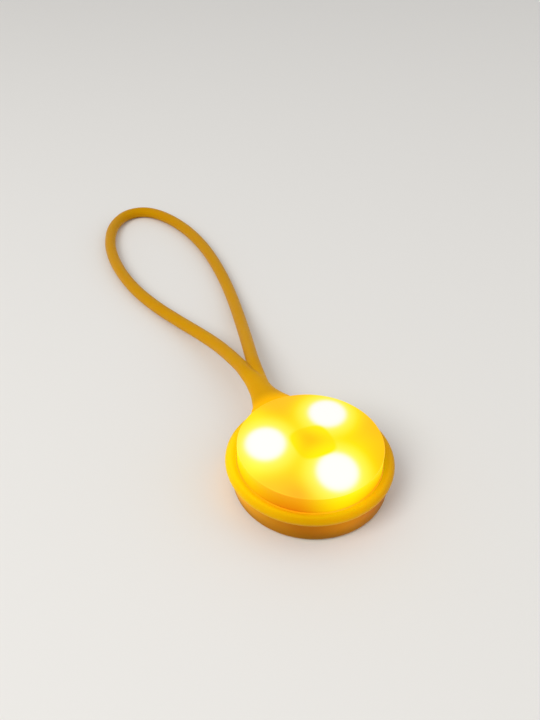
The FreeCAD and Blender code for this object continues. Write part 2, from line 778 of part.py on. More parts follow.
def make_positive_clip():
    """Bent strip from the board down through the pocket's slot to the lower cell's side."""
    body = new_body("positive_clip", CLIP_AZIMUTH)
    sketch = new_sketch(body, "clip_outline")
    touch = f"({CELL_LOW} + cell_thick * 3 / 4)"
    near = "(cell_radius + 2 * touch_gap)"
    foot_low = BOARD_LOW + " - contact_strip"
    corners = [
        (near + " + clip_flare", touch + " - clip_tail"),
        (near + " + clip_flare + contact_strip", touch + " - clip_tail + contact_strip / 2"),
        (near + " + contact_strip * 1.3", touch),
        (near + " + clip_stand + contact_strip", touch + " + clip_rise"),
        (near + " + clip_stand + contact_strip", foot_low),
        (near + " + clip_foot", foot_low),
        (near + " + clip_foot", BOARD_LOW),
        (near + " + clip_stand", BOARD_LOW),
        (near + " + clip_stand", touch + " + clip_rise + contact_strip / 2"),
        (near, touch),
    ]
    outline(sketch, corners)
    pad(body, sketch, "contact_width", middle=True)
    return body


def make_circuit_board():
    """Round board with holes for the screws and the lamps' leads."""
    body = new_body("circuit_board")
    disc = new_sketch(body, "board_outline", "XY_Plane", BOARD_LOW)
    circle(disc, BOARD_RADIUS)
    pad(body, disc, "board_thick")
    screw = new_sketch(body, "screw_hole", "XY_Plane", BOARD_LOW, turn=BOSS_AZIMUTH)
    circle(screw, "screw_radius + screw_play", BOSS_RING)
    around(body, cut(body, screw, "board_thick"), 3)
    leads = new_sketch(body, "lead_holes", "XY_Plane", BOARD_LOW, turn="led_azimuth")
    circle(leads, "lead_side * 0.9", LED_RING, "lead_spacing / 2")
    circle(leads, "lead_side * 0.9", LED_RING, "-lead_spacing / 2")
    around(body, cut(body, leads, "board_thick"), 3)
    return body


def make_led(label, azimuth):
    """Wide-beam lamp with a flange that has a flat on its cathode side."""
    body = new_body(label, azimuth)
    sketch = new_sketch(body, label + "_outline", shift=LED_RING)
    top = BOARD_TOP + " + led_top"
    corners = [
        ("0", BOARD_TOP),
        ("led_flange_radius", BOARD_TOP),
        ("led_flange_radius", BOARD_TOP + " + led_flange"),
        ("led_radius", BOARD_TOP + " + led_flange"),
        ("led_radius", top + " - led_radius / 2"),
        ("led_radius / 3", top),
        ("0", top),
    ]
    outline(sketch, corners, {4: ("led_radius", "left")})
    revolve(body, sketch)
    flat = new_sketch(body, label + "_flat", "XY_Plane", BOARD_TOP)
    beyond = "led_flange_radius + led_flat"
    inner = "led_flange_radius - led_flat"
    rectangle(flat, f"{LED_RING} - ({beyond})", f"{LED_RING} + {beyond}", inner, beyond)
    cut(body, flat, "led_flange")
    return body


def make_led_leads():
    """The lamps' leads through the board."""
    body = new_body("led_leads", "led_azimuth")
    sketch = new_sketch(body, "lead_outline", "XY_Plane", BOARD_LOW + " - lead_end")
    half = "lead_side / 2"
    near = f"{LED_RING} - {half}"
    far = f"{LED_RING} + {half}"
    for side in ("", "-"):
        middle = side + "lead_spacing / 2"
        rectangle(sketch, near, far, f"{middle} - {half}", f"{middle} + {half}")
    around(body, pad(body, sketch, "lead_end + board_thick"), 3)
    return body


def make_solder_joints():
    """A cone of solder round each lead under the board."""
    body = new_body("solder_joints", "led_azimuth")
    for number, side in enumerate(("", "-")):
        cone = new_sketch(body, f"cone_outline_{number}", shift=LED_RING)
        tie(cone, "AttachmentOffset.Base.z", side + "lead_spacing / 2")
        corners = [
            ("lead_side * 0.74", BOARD_LOW + " - lead_side"),
            ("lead_side", BOARD_LOW + " - lead_side"),
            ("lead_side * 1.7", BOARD_LOW),
            ("lead_side * 0.74", BOARD_LOW),
        ]
        outline(cone, corners)
        around(body, revolve(body, cone), 3)
    return body


def make_pcb_screws():
    """Slotted screws that hold the board on its bosses."""
    body = new_body("pcb_screws", BOSS_AZIMUTH)
    sketch = new_sketch(body, "screw_outline", shift=BOSS_RING)
    head_top = BOARD_TOP + " + screw_head"
    tip = BOARD_TOP + " - screw_length"
    corners = [
        ("0", tip),
        ("screw_radius / 2", tip),
        ("screw_radius", tip + " + screw_radius"),
        ("screw_radius", BOARD_TOP),
        ("screw_head_radius", BOARD_TOP),
        ("screw_head_radius", BOARD_TOP + " + screw_head / 2"),
        ("screw_head_radius / 2", head_top),
        ("0", head_top),
    ]
    outline(sketch, corners, {5: ("screw_head_radius", "left")})
    around(body, revolve(body, sketch), 3)
    slot = new_sketch(body, "driver_slot", "XY_Plane", BOARD_TOP + " + screw_head / 2")
    half = "(screw_head_radius + fit_gap)"
    width = "screw_head / 4"
    rectangle(slot, f"{BOSS_RING} - {half}", f"{BOSS_RING} + {half}", f"-{width}", width)
    around(body, cut(body, slot, "screw_head"), 3)
    return body


def make_switch_body():
    """Square switch base with a well for the stem and four studs that hold the frame down."""
    body = new_body("switch_body")
    half = "switch_side / 2"
    base = new_sketch(body, "switch_outline", "XY_Plane", BOARD_TOP)
    rectangle(base, f"-{half}", half, f"-{half}", half)
    pad(body, base, "switch_body")
    well = new_sketch(body, "switch_well", "XY_Plane", BOARD_TOP + " + switch_body / 4")
    circle(well, "collar_radius + fit_gap")
    cut(body, well, "switch_body")
    stud = new_sketch(body, "stud_outline", "XY_Plane", BOARD_TOP + " + switch_body")
    circle(stud, "stud_radius", half + " - stud_inset", half + " - stud_inset")
    around(body, pad(body, stud, "switch_frame + fit_gap"), 4)
    return body


def make_switch_frame():
    """Metal plate over the switch, with two tabs down its sides."""
    body = new_body("switch_frame")
    half = "(switch_side / 2)"
    thick = "(switch_frame * 2 / 3)"
    level = BOARD_TOP + " + switch_body"
    plate = new_sketch(body, "frame_outline", "XY_Plane", level)
    rectangle(plate, f"-{half} - {thick}", f"{half} + {thick}", f"-{half} + fit_gap", half + " - fit_gap")
    pad(body, plate, "switch_frame")
    tab = new_sketch(body, "tab_outline", "XY_Plane", level + " - switch_body * 2 / 3")
    rectangle(tab, half, f"{half} + {thick}", f"-{half} / 2", half + " / 2")
    around(body, pad(body, tab, "switch_body * 2 / 3 + switch_frame / 2"), 2)
    opening = new_sketch(body, "stem_hole", "XY_Plane", level)
    circle(opening, "stem_radius + fit_gap")
    cut(body, opening, "switch_frame")
    holes = new_sketch(body, "stud_hole", "XY_Plane", level)
    circle(holes, "stud_radius + fit_gap / 2", half + " - stud_inset", half + " - stud_inset")
    around(body, cut(body, holes, "switch_frame"), 4)
    return body


def make_switch_stem():
    """Switch plunger with the collar that keeps it under the frame."""
    body = new_body("switch_stem")
    sketch = new_sketch(body, "stem_outline")
    frame_low = f"({BOARD_TOP} + switch_body)"
    collar_low = f"({BOARD_TOP} + switch_body / 4 + press_travel + fit_gap)"
    corners = [
        ("0", collar_low),
        ("collar_radius", collar_low),
        ("collar_radius", frame_low + " - fit_gap / 2"),
        ("stem_radius", frame_low + " - fit_gap / 2"),
        ("stem_radius", STEM_TOP),
        ("0", STEM_TOP),
    ]
    outline(sketch, corners)
    turned = revolve(body, sketch)
    soften(body, turned, "stem_radius / 8", [("stem_radius", STEM_TOP)])
    return body


def make_switch_legs():
    """Four flat legs that stand the switch on the board."""
    body = new_body("switch_legs")
    sketch = new_sketch(body, "leg_outline", "XY_Plane", BOARD_TOP)
    half = "switch_side / 2"
    far = f"({half} - leg_inset)"
    near = f"({half} - leg_inset - leg_width)"
    rectangle(sketch, half, half + " + leg_reach", near, far)
    rectangle(sketch, half, half + " + leg_reach", "-" + far, "-" + near)
    around(body, pad(body, sketch, "contact_strip"), 2)
    return body


def make_driver_chip():
    """Flasher chip, whose sides lean in a little above and below the legs."""
    body = new_body("driver_chip", "led_azimuth + 180")
    sketch = new_sketch(body, "chip_outline")
    low = f"{BOARD_TOP} + chip_lift"
    half = "chip_width / 2"
    lean = "chip_height / 10"
    corners = [
        (f"{CHIP_REACH} - {half} + {lean}", low),
        (f"{CHIP_REACH} + {half} - {lean}", low),
        (f"{CHIP_REACH} + {half}", f"{low} + chip_height / 2"),
        (f"{CHIP_REACH} + {half} - {lean}", f"{low} + chip_height"),
        (f"{CHIP_REACH} - {half} + {lean}", f"{low} + chip_height"),
        (f"{CHIP_REACH} - {half}", f"{low} + chip_height / 2"),
    ]
    outline(sketch, corners)
    pad(body, sketch, "chip_length", middle=True)
    return body


def make_chip_legs():
    """Eight bent legs, four along each long side of the chip."""
    body = new_body("chip_legs", "led_azimuth + 180")
    strip = "contact_strip"
    mid = f"({BOARD_TOP} + chip_lift + chip_height / 2)"
    for number in range(4):
        for side in ("", "-"):
            name = f"leg_{number}_{'outer' if side == '' else 'inner'}"
            sketch = new_sketch(body, name, shift=CHIP_REACH)
            tie(sketch, "AttachmentOffset.Base.z", f"{number - 1.5} * chip_pitch")
            near = f"{side}(chip_width / 2 + touch_gap)"
            knee = f"{side}(chip_width / 2 + pin_knee)"
            back = f"{side}(chip_width / 2 + pin_knee - {strip})"
            toe = f"{side}(chip_width / 2 + pin_toe)"
            corners = [
                (back, BOARD_TOP),
                (toe, BOARD_TOP),
                (toe, f"{BOARD_TOP} + {strip}"),
                (knee, f"{BOARD_TOP} + {strip}"),
                (knee, f"{mid} + {strip}"),
                (near, f"{mid} + {strip}"),
                (near, mid),
                (back, mid),
            ]
            outline(sketch, corners)
            pad(body, sketch, "pin_width", middle=True)
    return body


def make_resistors():
    """One resistor on the lamp side of the switch for each lamp."""
    body = new_body("resistors", "led_azimuth")
    sketch = new_sketch(body, "resistor_outline", "XY_Plane", BOARD_TOP)
    half = "(resistor_length / 2 - resistor_cap)"
    wide = "resistor_width / 2"
    rectangle(sketch, f"{RESISTOR_REACH} - {wide}", f"{RESISTOR_REACH} + {wide}", "-" + half, half)
    around(body, pad(body, sketch, "resistor_height"), 3)
    return body


def make_resistor_ends():
    """The plated ends of the resistors, soldered to the board."""
    body = new_body("resistor_ends", "led_azimuth")
    sketch = new_sketch(body, "end_outline", "XY_Plane", BOARD_TOP)
    wide = "resistor_width / 2"
    inner = "(resistor_length / 2 - resistor_cap)"
    outer = "(resistor_length / 2)"
    left = f"{RESISTOR_REACH} - {wide}"
    right = f"{RESISTOR_REACH} + {wide}"
    rectangle(sketch, left, right, inner, outer)
    rectangle(sketch, left, right, "-" + outer, "-" + inner)
    around(body, pad(body, sketch, "resistor_height"), 3)
    return body


subparts = [
    make_sleeve(),
    make_strap_loop(),
    make_lens_cover(),
    make_ring("lens_seal", LENS_SEAL_RING, "seal_radius", SEAL_LEVEL),
    make_base_shell(),
    make_battery_door(),
    make_ring("door_seal", DOOR_SEAL_RING, "door_seal_radius", DOOR_SEAL_LEVEL),
    make_door_pad(),
    make_cell("cell_lower", CELL_LOW),
    make_cell("cell_upper", f"({CELL_LOW} + cell_thick)"),
    make_negative_spring(),
    make_positive_clip(),
    make_circuit_board(),
    make_led("led_1", "led_azimuth"),
    make_led("led_2", "led_azimuth + 120"),
    make_led("led_3", "led_azimuth + 240"),
    make_led_leads(),
    make_solder_joints(),
    make_pcb_screws(),
    make_switch_body(),
    make_switch_frame(),
    make_switch_stem(),
    make_switch_legs(),
    make_driver_chip(),
    make_chip_legs(),
    make_resistors(),
    make_resistor_ends(),
]
doc.recompute()

for thing in doc.Objects:
    if "Invalid" in thing.State or "Error" in thing.State:
        raise RuntimeError(f"{thing.Label} failed: {thing.State}")
for piece in subparts:
    if piece.Shape.isNull() or not piece.Shape.isValid():
        raise RuntimeError(f"{piece.Label} has no valid shape")

os.makedirs("parts", exist_ok=True)
for piece in subparts:
    piece.Shape.exportStep(f"parts/{piece.Label}.step")
    box = piece.Shape.BoundBox
    print(
        f"{piece.Label}: {len(piece.Shape.Solids)} solids, {piece.Shape.Volume:.2f} mm3,"
        f" z {box.ZMin:.2f} to {box.ZMax:.2f}"
    )
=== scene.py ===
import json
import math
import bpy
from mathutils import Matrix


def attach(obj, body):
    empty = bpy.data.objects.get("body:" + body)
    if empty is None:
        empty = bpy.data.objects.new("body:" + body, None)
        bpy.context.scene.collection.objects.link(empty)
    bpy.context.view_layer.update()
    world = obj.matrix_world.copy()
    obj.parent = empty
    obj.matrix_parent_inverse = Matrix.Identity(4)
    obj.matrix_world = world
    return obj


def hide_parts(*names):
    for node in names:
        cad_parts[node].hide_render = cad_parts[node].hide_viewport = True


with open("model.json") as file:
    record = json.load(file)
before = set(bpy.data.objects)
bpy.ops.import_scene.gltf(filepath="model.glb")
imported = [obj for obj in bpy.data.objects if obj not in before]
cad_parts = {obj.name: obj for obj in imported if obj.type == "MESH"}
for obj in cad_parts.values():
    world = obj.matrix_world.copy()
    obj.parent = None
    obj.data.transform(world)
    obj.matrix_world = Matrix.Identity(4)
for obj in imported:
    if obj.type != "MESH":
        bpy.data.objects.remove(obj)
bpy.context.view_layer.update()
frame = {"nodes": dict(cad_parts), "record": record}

# Bike warning light on a pale table: a lit lens in a yellow silicone sleeve whose neck runs into a
# looped strap. The camera, the lights, the table and the strap's route are in metres. Every other
# length is in millimetres, and MM turns it into metres.

from types import SimpleNamespace as Numbers

import bmesh
import bpy
import numpy as np
from mathutils import Matrix, Vector

# A millimetre in metres, and the millimetres in a metre
MM = 0.001
PER_METRE = 1000.0

# Sleeve: radii and heights of the cup, the bead ring, the lip and the groove for the shell's rim
CUP_INNER = 18.4
CUP_OUTER = 20.8
CUP_FLOOR = 1.0
CUP_CORNER = 1.6
WINDOW = 13.0
RING_CENTRE = 21.1
RING_HALF = 1.4
RING_LEVEL = 8.5
LIP_RADIUS = 19.55
LIP_TOP = 9.1
GROOVE_RADIUS = 20.4
GROOVE_LOW = 7.4
GROOVE_HIGH = 8.6
# The ring's inner slope down to the lip, as radius and height
LIP_SLOPE = ((20.35, 9.68), (19.95, 9.42), (LIP_RADIUS + 0.05, 9.13))
# The foot stands aside by this much along x and y and is wider by this much, which the photograph
# shows. The lean takes in what lies outside the foot's corner and a margin inside it.
FOOT_SHIFT = (0.44, -0.21)
FOOT_SPREAD = 0.15
LEAN_MARGIN = 0.1

# How finely the sleeve's shapes are divided before they are run together
CUP_SIDES = 240
CORNER_STEPS = 10
RING_STEPS = 24
NECK_ROWS = 110
NECK_SIDES = 96
STRAND_ROWS = 60
STRAND_SIDES = 48

# Running them together: the voxels' size, and how strongly and how often the skin is smoothed
SLEEVE_VOXEL = 0.26
SMOOTH_SHARE = 0.5
SMOOTH_TIMES = 6
# Points this near to the window's wall go onto it, up to this height above the cup's floor
WINDOW_REACH = 0.35
WINDOW_ABOVE = 0.2
# Points of a skin that lie nearer together than this are one
SAME_POINT = 0.0005

# Neck and strap. STRAND is the strap's radius. In the neck a strand's radius is larger by
# STRAND_EXTRA, and past LOOP_START, inside the strap's end, it shrinks by STRAND_TAPER for each mm.
STRAND = 2.08
STRAND_EXTRA = 0.03
STRAND_TAPER = 0.06
LOOP_START = 46.5
# The neck's body at stations along y: left edge, right edge, level and half thickness
NECK_BODY = (
    (20.3, -8.3, 8.3, 8.5, 1.3),
    (22.5, -7.2, 7.3, 8.5, 1.75),
    (24.2, -6.0, 6.2, 8.5, 2.0),
    (26.0, -5.35, 4.95, 8.5, 2.1),
    (28.0, -4.7, 3.9, 8.5, 2.15),
    (30.0, -4.22, 3.25, 8.5, 2.15),
    (32.0, -3.92, 3.05, 8.45, 2.15),
    (34.0, -3.65, 2.9, 8.4, 2.15),
    (36.5, -3.45, 2.2, 8.35, 2.15),
    (39.0, -3.4, 1.3, 8.3, 2.12),
    (41.5, -3.36, 0.85, 8.17, 2.1),
    (44.5, -3.33, 0.83, 7.74, 2.06),
)
# Each strand's middle at stations along y: x and level
LEFT_STRAND = (
    (38.0, -1.3, 8.3),
    (41.1, -1.27, 8.2),
    (44.0, -1.2, 7.81),
    (46.5, -1.4, 7.45),
    (48.6, -1.55, 7.14),
)
RIGHT_STRAND = (
    (31.0, 0.8, 8.3),
    (34.0, 1.25, 8.0),
    (37.0, 1.78, 7.7),
    (41.1, 2.46, 7.8),
    (44.0, 2.99, 7.76),
    (46.5, 3.6, 7.45),
    (48.6, 4.17, 7.15),
)
# Control points of the strap's centre line, in metres, from the neck's left end to its right end
STRAP_ROUTE = [
    (-0.0014, 0.0465, 0.00745),
    (-0.0020, 0.0550, 0.0062),
    (-0.0043, 0.0668, 0.0043),
    (-0.0088, 0.0808, 0.0028),
    (-0.0134, 0.0944, 0.0021),
    (-0.0169, 0.1085, 0.0021),
    (-0.0181, 0.1234, 0.0021),
    (-0.0172, 0.1377, 0.0021),
    (-0.0140, 0.1498, 0.0021),
    (-0.0097, 0.1581, 0.0021),
    (-0.0030, 0.1645, 0.0021),
    (0.0052, 0.1644, 0.0021),
    (0.0113, 0.1570, 0.0021),
    (0.0158, 0.1441, 0.0021),
    (0.0176, 0.1291, 0.0021),
    (0.0174, 0.1153, 0.0021),
    (0.0160, 0.1005, 0.0021),
    (0.0135, 0.0855, 0.0024),
    (0.0100, 0.0705, 0.0038),
    (0.0066, 0.0575, 0.0059),
    (0.0036, 0.0465, 0.00745),
]
# The spline's order, its steps from point to point, and how finely its round tube is divided
SPLINE_ORDER = 3
SPLINE_STEPS = 16
BEVEL_STEPS = 8


# Camera, light and table

# Film width and focal length. Then, in metres, the nearest and farthest that it sees and its place,
# and its turns in degrees about each axis, in order.
FILM_WIDTH = 36
FOCAL_LENGTH = 37.445
NEAREST = 0.01
FARTHEST = 20
CAMERA_PLACE = (-0.07048, -0.12164, 0.1522)
CAMERA_TURNS = ((-25.54, "Z"), (51.67, "X"), (1.32, "Z"))
# Softboxes: name, place and size in metres, watts and colour
SOFTBOXES = (
    ("key", (-0.62, -0.18, 0.66), 0.5, 4.2, (1.0, 0.985, 0.96)),
    ("fill", (0.7, -0.3, 0.5), 0.7, 0.9, (0.96, 0.98, 1.0)),
)
SOFTBOX_AIM = (0, 0.05, 0)
SURROUNDINGS = (1.0, 0.99, 0.975)
SURROUNDINGS_STRENGTH = 0.62
TABLE_HALF = 3.0
TABLE_PAINT = (0.80, 0.79, 0.77)
TABLE_ROUGHNESS = 0.75


def stand(name, data, matrix):
    """An object of the scene's own, such as a light, with its place."""
    made = bpy.data.objects.new(name, data)
    bpy.context.scene.collection.objects.link(made)
    made.matrix_world = matrix
    return made


def make_camera():
    """The photograph's view: from 26 degrees left of the strap's line, looking 38 degrees down."""
    data = bpy.data.cameras.new("photo_view")
    data.sensor_width = FILM_WIDTH
    data.lens = FOCAL_LENGTH
    data.clip_start = NEAREST
    data.clip_end = FARTHEST
    turn = Matrix()
    for degrees, axis in CAMERA_TURNS:
        turn = turn @ Matrix.Rotation(math.radians(degrees), 4, axis)
    bpy.context.scene.camera = stand("photo_view", data, Matrix.Translation(CAMERA_PLACE) @ turn)


def make_softbox(name, place, size, watts, colour):
    """A square soft light that looks at the part."""
    data = bpy.data.lights.new(name, "AREA")
    data.shape = "SQUARE"
    data.size = size
    data.energy = watts
    data.color = colour
    turn = (Vector(SOFTBOX_AIM) - Vector(place)).to_track_quat("-Z", "Y").to_matrix().to_4x4()
    stand(name, data, Matrix.Translation(place) @ turn)


def make_world():
    """Even pale surroundings."""
    world = bpy.data.worlds.new("studio")
    bpy.context.scene.world = world
    world.use_nodes = True
    back = world.node_tree.nodes["Background"]
    back.inputs["Color"].default_value = (*SURROUNDINGS, 1)
    back.inputs["Strength"].default_value = SURROUNDINGS_STRENGTH


def make_table():
    """The pale table top."""
    mesh = bpy.data.meshes.new("table_top")
    corners = ((-1, -1), (1, -1), (1, 1), (-1, 1))
    mesh.from_pydata([(x * TABLE_HALF, y * TABLE_HALF, 0) for x, y in corners], [], [(0, 1, 2, 3)])
    material = bpy.data.materials.new("table_paint")
    material.use_nodes = True
    paint = material.node_tree.nodes["Principled BSDF"]
    paint.inputs["Base Color"].default_value = (*TABLE_PAINT, 1)
    paint.inputs["Roughness"].default_value = TABLE_ROUGHNESS
    mesh.materials.append(material)
    stand("table_top", mesh, Matrix())


# Numbers and colours that vary over a surface

# The colour sockets of the mixing node, which has others of the same names for plain numbers
MIX_LOW, MIX_HIGH, MIX_RESULT = 6, 7, 2


class Field:
    """A number that varies over a surface, with plain arithmetic."""

    def __init__(self, tree, socket):
        self.tree = tree
        self.socket = socket

    def apply(self, operation, *others):
        """The result of one of the maths node's operations on this field and others."""
        node = self.tree.nodes.new("ShaderNodeMath")
        node.operation = operation
        for number, term in enumerate((self, *others)):
            if isinstance(term, Field):
                self.tree.links.new(term.socket, node.inputs[number])
            else:
                node.inputs[number].default_value = term
        return Field(self.tree, node.outputs[0])

    def __add__(self, other):
        return self.apply("ADD", other)

    def __sub__(self, other):
        return self.apply("SUBTRACT", other)

    def __mul__(self, other):
        return self.apply("MULTIPLY", other)

    def squared(self):
        return self.apply("MULTIPLY", self)

    def less(self):
        """What is left of one."""
        return (self * -1.0) + 1.0

    def fade(self, start, end):
        """Smoothly from 0 at start to 1 at end, where either may be the larger."""
        node = self.tree.nodes.new("ShaderNodeMapRange")
        node.interpolation_type = "SMOOTHSTEP"
        self.tree.links.new(self.socket, node.inputs["Value"])
        flip = start > end
        node.inputs["From Min"].default_value = min(start, end)
        node.inputs["From Max"].default_value = max(start, end)
        node.inputs["To Min"].default_value = 1.0 if flip else 0.0
        node.inputs["To Max"].default_value = 0.0 if flip else 1.0
        return Field(self.tree, node.outputs[0])

    def between(self, low, high):
        """From low where the field is 0 to high where it is 1."""
        return self.apply("MULTIPLY_ADD", high - low, low)

    def bell(self, width):
        """exp(-(value / width) squared)."""
        return (self.squared() * (-1 / width ** 2)).apply("EXPONENT")

    def drop(self, at, over):
        """Near 1 below a value and near 0 above it: 1 / (1 + exp((value - at) / over))."""
        steep = ((self - at) * (1 / over)).apply("EXPONENT") + 1.0
        return steep.apply("POWER", -1.0)


def any_of(fields):
    """The share that at least one of several fields covers.

    It is one less the product of what each leaves uncovered.
    """
    left = fields[0].less()
    for field in fields[1:]:
        left = left * field.less()
    return left.less()


class Finish:
    """A material under construction, with its place on the object in millimetres."""

    def __init__(self, name, colour, roughness, metallic=0.0, **sockets):
        self.material = bpy.data.materials.new(name)
        self.material.use_nodes = True
        self.material.diffuse_color = (*colour, 1)
        self.tree = self.material.node_tree
        self.shader = self.tree.nodes["Principled BSDF"]
        self.shader.inputs["Base Color"].default_value = (*colour, 1)
        self.shader.inputs["Roughness"].default_value = roughness
        self.shader.inputs["Metallic"].default_value = metallic
        for socket, amount in sockets.items():
            self.shader.inputs[socket.replace("_", " ")].default_value = amount
        self.place = self.tree.nodes.new("ShaderNodeTexCoord").outputs["Object"]
        split = self.tree.nodes.new("ShaderNodeSeparateXYZ")
        self.tree.links.new(self.place, split.inputs[0])
        self.x, self.y, self.z = (Field(self.tree, axis) * PER_METRE for axis in split.outputs)

    def radius(self, x=0.0, y=0.0):
        """Distance from an upright axis through x, y."""
        return ((self.x - x).squared() + (self.y - y).squared()).apply("SQRT")

    def oval(self, spot):
        """Distance from the middle of a lamp's spot, the same all round its oval outline."""
        x, y, stretch, lean = spot
        u, v = self.x - x, self.y - y
        square = u.squared() * (1 + stretch) + v.squared() * (1 - stretch) + u * v * (2 * lean)
        return square.apply("SQRT")

    def azimuth(self):
        """Direction about the lens's axis, in radians."""
        return self.y.apply("ARCTAN2", self.x)

    def stretched(self, x, y, z):
        """The place with each axis multiplied, for patterns that run one way."""
        node = self.tree.nodes.new("ShaderNodeMapping")
        node.inputs["Scale"].default_value = (x, y, z)
        self.tree.links.new(self.place, node.inputs["Vector"])
        return node.outputs[0]

    def noise(self, size, detail=3.0, place=None):
        """Cloudy unevenness whose lumps are size millimetres across."""
        node = self.tree.nodes.new("ShaderNodeTexNoise")
        node.inputs["Scale"].default_value = PER_METRE / size
        node.inputs["Detail"].default_value = detail
        self.tree.links.new(place or self.place, node.inputs["Vector"])
        return Field(self.tree, node.outputs["Fac"])

    def specks(self, spacing, size):
        """Small round spots at scattered points about spacing millimetres apart, 1 in their middle."""
        node = self.tree.nodes.new("ShaderNodeTexVoronoi")
        node.inputs["Scale"].default_value = PER_METRE / spacing
        self.tree.links.new(self.place, node.inputs["Vector"])
        return Field(self.tree, node.outputs["Distance"]).fade(size / spacing, 0.0)

    def mix(self, share, low, high):
        """A colour from low to high, which are colours or colour sockets."""
        node = self.tree.nodes.new("ShaderNodeMix")
        node.data_type = "RGBA"
        self.tree.links.new(share.socket, node.inputs["Factor"])
        for number, colour in ((MIX_LOW, low), (MIX_HIGH, high)):
            if isinstance(colour, tuple):
                node.inputs[number].default_value = (*colour, 1)
            else:
                self.tree.links.new(colour, node.inputs[number])
        return node.outputs[MIX_RESULT]

    def tint(self, *channels):
        """A colour from three numbers that vary."""
        node = self.tree.nodes.new("ShaderNodeCombineColor")
        for number, channel in enumerate(channels):
            self.tree.links.new(channel.socket, node.inputs[number])
        return node.outputs[0]

    def paint(self, colour):
        self.tree.links.new(colour, self.shader.inputs["Base Color"])

    def roughen(self, field):
        self.tree.links.new(field.socket, self.shader.inputs["Roughness"])

    def glow(self, colour):
        """Light given off, in the colour that it adds."""
        self.tree.links.new(colour, self.shader.inputs["Emission Color"])
        self.shader.inputs["Emission Strength"].default_value = 1.0

    def relief(self, field, depth):
        """Bumps of a depth in millimetres where the field goes from 0 to 1."""
        node = self.tree.nodes.new("ShaderNodeBump")
        node.inputs["Strength"].default_value = 1.0
        node.inputs["Distance"].default_value = depth * MM
        self.tree.links.new(field.socket, node.inputs["Height"])
        self.tree.links.new(node.outputs[0], self.shader.inputs["Normal"])

    def touched(self, field, touches):
        """A field with a bell of light added, or taken away, round each of a few upright axes."""
        for x, y, width, amount in touches:
            field = field + self.radius(x, y).bell(width) * amount
        return field


# What several finishes share

# Each lamp's spot on the lens: centre x and y, then how far its outline is stretched along x and
# how far it leans. In order: left, front and right.
SPOTS = (
    (-11.53, 3.4, 0.14, -0.03),
    (0.88, -12.67, 0.02, -0.10),
    (8.57, 7.16, 0.05, -0.19),
)

# Shares of a noise field over which it goes from one tone to the other: abruptly or gently
CRISP = (0.35, 0.65)
GENTLE = (0.3, 0.7)


# Silicone

# The silicone's yellow at the neck, then its strands, strap and cup darker with painted shade: the
# lamps' light falls off along the strap and the ring shades the cup
NECK_YELLOW = (0.70, 0.345, 0.001)
STRAND_YELLOW_SHADED = (0.61, 0.29, 0.001)
STRAP_YELLOW_SHADED = (0.56, 0.265, 0.001)
CUP_ORANGE_SHADED = (0.385, 0.141, 0.001)
CLOUD_ORANGE = (0.50, 0.20, 0.001)
DUST = (0.80, 0.60, 0.28)
SATIN = {
    "IOR": 1.41,
    "Specular_IOR_Level": 0.2,
    "Specular_Tint": (1.0, 0.78, 0.03, 1),
    "Subsurface_Weight": 0.25,
    "Subsurface_Scale": 0.002,
    "Subsurface_Radius": (1.0, 0.45, 0.05),
}
# Where painted shade darkens its colour, as the start and end of fades along y, outwards and upwards
SHADE_FADES = Numbers(
    strand=(33.0, 42.0),
    strap=(45.0, 120.0),
    cup_outwards=(24.5, 22.0),
    cup_below=(8.2, 5.0),
    cup_above=(0.2, 1.4),
)
# How rough it is, and its clouds, specks and grain: sizes, with spacing or detail, shares and depth
SKIN = Numbers(
    roughness=0.42,
    roughness_range=(0.38, 0.50),
    roughness_grain=1.2,
    cloud=9.0,
    cloud_share=0.08,
    specks=(2.3, 0.22),
    speck_share=0.08,
    grain=(0.35, 2.0),
    grain_depth=0.004,
)
# Where lamplight shows in it: the ring's top, all below that, the cup alone, the ring's inner
# slope, the neck's root and the lip, whose right side is a little greener and whose red is less,
# a painted shade by the lens. One place is dimmer, a painted shade.
LIGHT_FADES = Numbers(
    top_outwards=(22.2, 21.0),
    top_above=(8.6, 9.4),
    low_above=(0.5, 5.0),
    cup_below=(8.0, 6.6),
    inner_outwards=(21.2, 20.0),
    root_outwards=(27.5, 22.5),
    root_along=(20.5, 22.5),
    root_above=(6.0, 9.0),
    lip_outwards=(20.4, 19.6),
    lip_above=(8.0, 9.0),
    lip_right=(8.0, 15.0),
    dim_middle=(-8.5, -20.0),
    dim_width=8.0,
    low_left_width=9.6,
)
# How strongly it shows there. A pair is a bell of light round a lamp, as width and strength, except
# in low_left, where it is the left lamp's strength above the cup and in it.
RED = Numbers(
    top=0.12,
    top_left=(17.0, 0.34),
    top_others=(8.0, 0.08),
    inner=0.03,
    low_left=(1.3, 2.0),
    low_others=(8.0, 0.55),
    cup_others=(14.0, 0.15),
    root=0.36,
    lip_less=0.06,
    dim_less=0.11,
)
GREEN = Numbers(
    top=0.08,
    top_left=(14.4, 0.50),
    top_others=(7.0, 0.30),
    inner=0.045,
    inner_left=(20.0, -0.20),
    low_left=(1.2, 0.95),
    low_others=(7.0, 0.38),
    root=0.19,
    lip=0.03,
    lip_right=0.02,
    dim_less=0.035,
)
BLUE_OF_GREEN = 0.003


